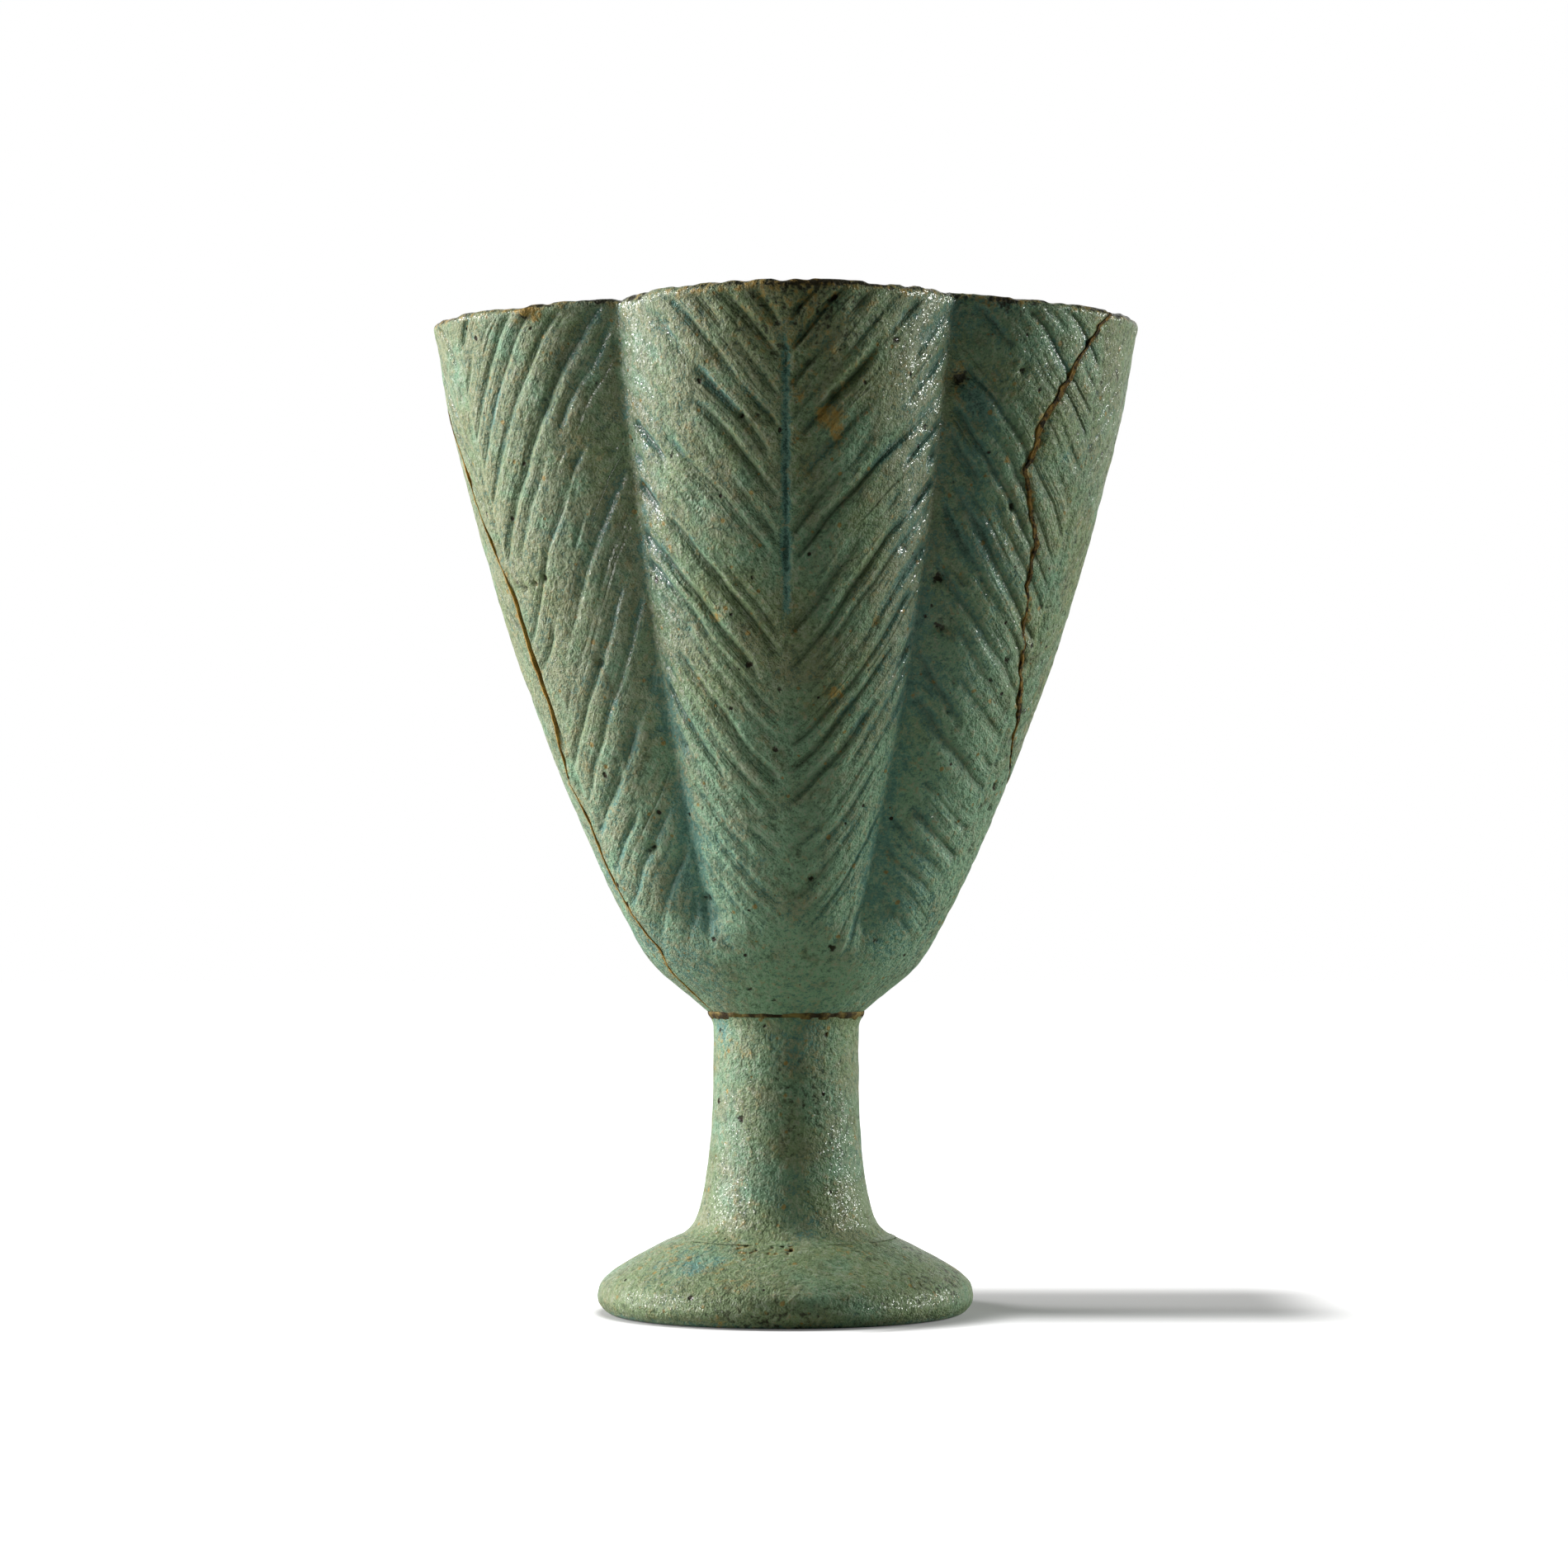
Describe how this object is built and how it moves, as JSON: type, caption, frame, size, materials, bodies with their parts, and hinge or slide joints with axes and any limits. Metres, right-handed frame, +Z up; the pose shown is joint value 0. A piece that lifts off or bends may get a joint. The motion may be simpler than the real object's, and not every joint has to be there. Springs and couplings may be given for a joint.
{
  "type": "egyptian lotus chalice",
  "caption": "Footed drinking cup with a six-petalled lotus bowl, broken in two and cemented, on a waisted stem and a domed round foot.",
  "frame": {"origin": "centre of the foot's flat underside, on the stem's axis", "axes": "+Z up along the stem to the rim, -Y towards the middle of the front petal, +X to the right as seen from the front"},
  "size_m": [0.0832, 0.0894, 0.1184],
  "materials": {
    "glazed_faience": "worn grainy matt glaze, grey-green to turquoise, with tan stains and pores",
    "joining_slurry": "fired faience paste, grainy",
    "aged_cement": "old resin cement, orange-brown, uneven"
  },
  "bodies": {
    "root": {"foot": "glazed_faience", "foot_lute": "joining_slurry", "stem": "glazed_faience", "cup_seat_cement": "aged_cement", "front_cup_sherd": "glazed_faience", "back_cup_sherd": "glazed_faience", "left_break_cement": "aged_cement", "right_break_cement": "aged_cement"}
  },
  "joints": []
}
